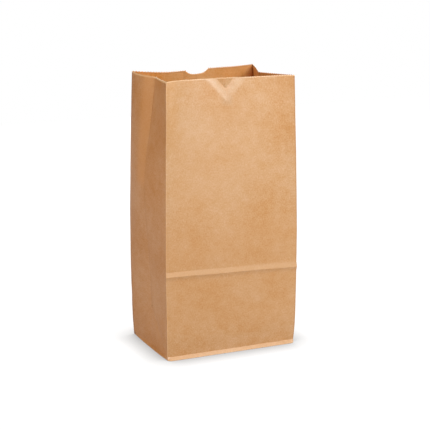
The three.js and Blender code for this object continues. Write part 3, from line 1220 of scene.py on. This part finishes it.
    def tooth_flap(self, mesh: bmesh.types.BMesh) -> None:
        """Cuts the saw teeth of the outer flap's free edge.

        Args:
            mesh: the closed bag, still with a flat bottom.
        """
        s = self.form.sizes
        teeth = round((s.apex + s.free_edge) / s.tooth_pitch)
        free = [edge for edge in mesh.edges if all(self.on_free_edge(vert) for vert in edge.verts)]
        bmesh.ops.subdivide_edges(mesh, edges=free, cuts=2 * teeth - 1)
        line = sorted((vert for vert in mesh.verts if self.on_free_edge(vert)), key=lambda vert: vert.co.x)
        for vert in line[1::2]:
            vert.co.y += s.tooth_depth

    def close_bottom(self, mesh: bmesh.types.BMesh) -> None:
        """Closes the bottom and steps its outer flap, inner flap and end triangles.

        Args:
            mesh: the folded sheet, open at the bottom.
        """
        open_edges = [edge for edge in mesh.edges if edge.is_boundary]
        ground = [edge for edge in open_edges if all(vert.co.z < HAIR for vert in edge.verts)]
        bmesh.ops.contextual_create(mesh, geom=ground)
        mesh.normal_update()
        self.cut_flaps(mesh)
        self.tooth_flap(mesh)
        for layer in (1, 2):
            faces = self.floor_faces(mesh, lambda c, layer=layer: self.floor_layers(c) >= layer)
            raised = bmesh.ops.extrude_face_region(mesh, geom=faces)
            verts = [part for part in raised["geom"] if isinstance(part, bmesh.types.BMVert)]
            bmesh.ops.translate(mesh, verts=verts, vec=(0.0, 0.0, self.form.sizes.paper))
            left = [face for face in faces if face.is_valid]
            bmesh.ops.delete(mesh, geom=left, context="FACES_ONLY")

    def write_floor_map(self, mesh: bmesh.types.BMesh) -> None:
        """Gives the bottom a place of its own on the map that the finish reads.

        Args:
            mesh: the bag with its bottom closed.
        """
        sheet_map = mesh.loops.layers.uv["sheet"]
        level = self.form.sizes.floor_level
        for face in mesh.faces:
            if all(vert.co.z < level for vert in face.verts):
                for loop in face.loops:
                    loop[sheet_map].uv = loop.vert.co.xy + Vector(self.floor_map)

    def build(self) -> bpy.types.Object:
        """Builds the bag's object.

        Returns:
            The finished object, at the origin.
        """
        mesh = bmesh.new()
        self.lay_sheet(mesh)
        self.score_gussets(mesh)
        self.score_dent(mesh)
        self.cut_teeth(mesh)
        self.cut_notch(mesh)
        self.write_sheet_map(mesh)
        self.fold(mesh)
        self.close_bottom(mesh)
        self.write_floor_map(mesh)
        for face in mesh.faces:
            face.smooth = True
        bmesh.ops.recalc_face_normals(mesh, faces=mesh.faces[:])
        data = bpy.data.meshes.new("paper_bag_sheet")
        mesh.to_mesh(data)
        mesh.free()
        data.set_sharp_from_angle(angle=math.radians(self.sharp_angle))
        bag = bpy.data.objects.new("paper_bag_sheet", data)
        bpy.context.scene.collection.objects.link(bag)
        shell = bag.modifiers.new("paper", "SOLIDIFY")
        shell.thickness = self.form.sizes.paper
        shell.offset = -1.0
        shell.use_even_offset = True
        shell.material_offset = 1
        return bag

    def dress(self, bag: bpy.types.Object) -> None:
        """Gives the bag its outer and inner finish.

        Args:
            bag: the built object.
        """
        marks = Handling(self.form)
        outer = KraftFinish("kraft_outside", (0.70, 0.438, 0.236), (0.58, 0.262, 0.060), marks.outside())
        # The inside is a copy of the kraft in a brighter, more orange tone; in part this is painted light,
        # standing in for light that passes through the paper and bounces inside.
        inner = KraftFinish("kraft_inside", (0.77, 0.430, 0.185), (0.64, 0.260, 0.040), marks.inside())
        bag.data.materials.append(outer.make())
        bag.data.materials.append(inner.make())


@dataclass(frozen=True)
class TableFinish:
    """A white table top that keeps the bag's soft shadow and sends its own light back up."""

    white: float = 0.10
    bounce: float = 0.50
    glow: float = 0.95
    contact_reach: float = 0.031
    contact_samples: int = 32
    roughness: float = 0.9
    gloss: float = 0.1

    def make(self) -> bpy.types.Material:
        """Makes the material: what the camera sees is mostly glow, dimmed near the bag.

        Returns:
            The table's material.
        """
        material = bpy.data.materials.new("white_table")
        material.use_nodes = True
        tree = material.node_tree
        shader = tree.nodes["Principled BSDF"]
        shader.inputs["Roughness"].default_value = self.roughness
        shader.inputs["Specular IOR Level"].default_value = self.gloss
        glow = tree.nodes.new("ShaderNodeEmission")
        seen = tree.nodes.new("ShaderNodeLightPath")
        white = tree.nodes.new("ShaderNodeMix")
        white.data_type = "RGBA"
        white.inputs["A"].default_value = (*[self.bounce] * 3, 1)
        white.inputs["B"].default_value = (*[self.white] * 3, 1)
        tree.links.new(seen.outputs["Is Camera Ray"], white.inputs["Factor"])
        tree.links.new(white.outputs["Result"], shader.inputs["Base Color"])
        tree.links.new(seen.outputs["Is Camera Ray"], glow.inputs["Strength"])
        contact = tree.nodes.new("ShaderNodeAmbientOcclusion")
        contact.samples = self.contact_samples
        contact.inputs["Distance"].default_value = self.contact_reach
        contact.inputs["Color"].default_value = (*[self.glow] * 3, 1)
        tree.links.new(contact.outputs["Color"], glow.inputs["Color"])
        both = tree.nodes.new("ShaderNodeAddShader")
        tree.links.new(shader.outputs[0], both.inputs[0])
        tree.links.new(glow.outputs[0], both.inputs[1])
        tree.links.new(both.outputs[0], tree.nodes["Material Output"].inputs["Surface"])
        return material


@dataclass(frozen=True)
class Lamp:
    """A soft square lamp: at level 1 it alone shows a white card that faces it as white."""

    name: str
    towards: tuple[float, float, float]
    level: float
    color: Color = (1.0, 1.0, 1.0)
    size: float = 0.9
    distance: float = 2.0

    def hang(self, aim: Vector) -> bpy.types.Object:
        """Hangs the lamp.

        Args:
            aim: the point that it looks at.

        Returns:
            The lamp's object.
        """
        data = bpy.data.lights.new(self.name, "AREA")
        data.shape = "SQUARE"
        data.size = self.size
        data.color = self.color
        data.energy = self.level * (math.pi * self.distance) ** 2
        lamp = bpy.data.objects.new(self.name, data)
        way = Vector(self.towards).normalized()
        lamp.location = aim + way * self.distance
        lamp.rotation_euler = (-way).to_track_quat("-Z", "Y").to_euler()
        bpy.context.scene.collection.objects.link(lamp)
        return lamp


@dataclass
class Studio:
    """A plain white table, soft lamps and the camera at the photograph's place."""

    azimuth: float = -23.79
    elevation: float = 13.88
    distance: float = 1.44955
    focal_pixels: float = 1275.26
    frame_pixels: float = 430.0
    sensor: float = 36.0
    aim_right: float = 0.00115
    aim_up: float = -0.00726
    aim_height: float = 0.155
    floor_size: float = 3.0
    floor_gap: float = 0.0002
    sky_level: float = 0.04
    lamps: tuple[Lamp, ...] = (
        Lamp("front_high", (0.0, -0.70, 0.70), 0.365),
        Lamp("front_right_high", (0.35, -0.75, 0.56), 0.63, size=0.65, distance=1.4),
        Lamp("left", (-1.0, -0.10, 0.25), 0.27, (1.0, 0.74, 0.56)),
        Lamp("left_high", (-0.7, -0.10, 0.70), 0.26, (1.0, 0.76, 0.58)),
        Lamp("right", (1.0, 0.10, 0.25), 0.40, (1.0, 0.92, 0.86)),
        Lamp("back", (0.15, 1.0, 0.25), 0.50, (1.0, 0.95, 0.90)),
    )

    def place_camera(self) -> bpy.types.Object:
        """Places the camera.

        Returns:
            The camera's object.
        """
        a, e = math.radians(self.azimuth), math.radians(self.elevation)
        back = Vector((math.sin(a) * math.cos(e), -math.cos(a) * math.cos(e), math.sin(e)))
        right = Vector((math.cos(a), math.sin(a), 0.0))
        up = back.cross(right)
        aim = Vector((0.0, 0.0, self.aim_height)) + right * self.aim_right + up * self.aim_up
        lens = bpy.data.cameras.new("photo_view")
        lens.sensor_width = self.sensor
        lens.lens = self.focal_pixels / self.frame_pixels * self.sensor
        lens.clip_end = 50.0
        camera = bpy.data.objects.new("photo_view", lens)
        turn = Matrix((right, up, back)).transposed().to_4x4()
        camera.matrix_world = Matrix.Translation(aim + back * self.distance) @ turn
        bpy.context.scene.collection.objects.link(camera)
        bpy.context.scene.camera = camera
        return camera

    def lay_floor(self) -> bpy.types.Object:
        """Lays the white floor just under the bag.

        Returns:
            The floor's object.
        """
        mesh = bmesh.new()
        bmesh.ops.create_grid(mesh, x_segments=1, y_segments=1, size=self.floor_size / 2)
        data = bpy.data.meshes.new("floor")
        mesh.to_mesh(data)
        mesh.free()
        floor = bpy.data.objects.new("floor", data)
        floor.location.z = -self.floor_gap
        bpy.context.scene.collection.objects.link(floor)
        floor.data.materials.append(TableFinish().make())
        return floor

    def light(self) -> None:
        """Hangs the lamps and sets the even light of the room, which the camera sees as white."""
        for lamp in self.lamps:
            lamp.hang(Vector((0.0, 0.0, self.aim_height)))
        world = bpy.data.worlds.new("studio")
        bpy.context.scene.world = world
        world.use_nodes = True
        tree = world.node_tree
        fill = tree.nodes["Background"]
        fill.inputs["Color"].default_value = (1, 1, 1, 1)
        fill.inputs["Strength"].default_value = self.sky_level
        white = tree.nodes.new("ShaderNodeBackground")
        white.inputs["Color"].default_value = (1, 1, 1, 1)
        seen = tree.nodes.new("ShaderNodeLightPath")
        pick = tree.nodes.new("ShaderNodeMixShader")
        tree.links.new(seen.outputs["Is Camera Ray"], pick.inputs["Fac"])
        tree.links.new(fill.outputs[0], pick.inputs[1])
        tree.links.new(white.outputs[0], pick.inputs[2])
        tree.links.new(pick.outputs[0], tree.nodes["World Output"].inputs["Surface"])


def main() -> None:
    """Builds the bag and its studio."""
    logging.basicConfig(level=logging.INFO, format="%(name)s: %(message)s")
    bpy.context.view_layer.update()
    studio = Studio()
    studio.place_camera()
    studio.lay_floor()
    studio.light()
    log.info("studio: a floor and %d lamps", len(studio.lamps))

    maker = PaperBag(FoldedForm())
    bag = maker.build()
    maker.dress(bag)
    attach(bag, "root")
    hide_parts("paper_bag")
    log.info("paper bag: %d faces before its thickness", len(bag.data.polygons))

    bpy.context.scene.view_settings.view_transform = "Standard"


if __name__ == "__main__":
    main()
